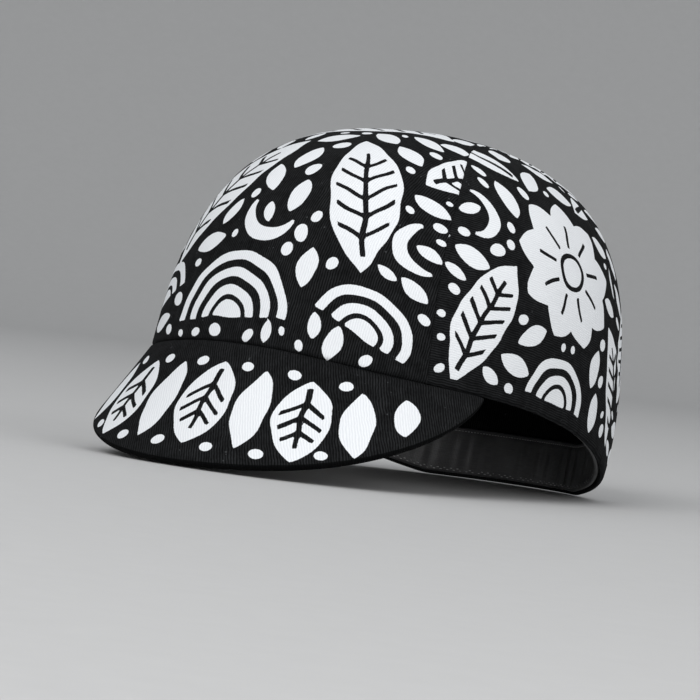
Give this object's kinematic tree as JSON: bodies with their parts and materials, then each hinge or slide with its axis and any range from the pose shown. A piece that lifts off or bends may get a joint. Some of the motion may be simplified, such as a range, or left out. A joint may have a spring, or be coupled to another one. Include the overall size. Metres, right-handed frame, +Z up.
{
  "type": "cycling cap",
  "caption": "Soft cotton cycling cap with an arched seam over each ear, a sweatband inside the hem and a short down-turned peak.",
  "frame": {"origin": "on the surface that the cap rests on, under the middle of its bounding box", "axes": "-Y points the way the peak points, +X is the wearer's left, +Z is up"},
  "size_m": [0.1566, 0.2268, 0.131],
  "materials": {
    "crown_centre_cloth": "black ribbed cotton with a white print, the ribs upright, matt",
    "crown_side_cloth": "black ribbed cotton with a white print, the ribs level, matt",
    "sweatband_cloth": "black cotton satin, slightly glossy, stitched along both edges",
    "peak_cloth": "black ribbed cotton over a stiff board, with a row of white printed shapes"
  },
  "bodies": {
    "root": {"crown_centre_panel": "crown_centre_cloth", "crown_left_panel": "crown_side_cloth", "crown_right_panel": "crown_side_cloth", "sweatband": "sweatband_cloth", "peak": "peak_cloth"}
  },
  "joints": []
}
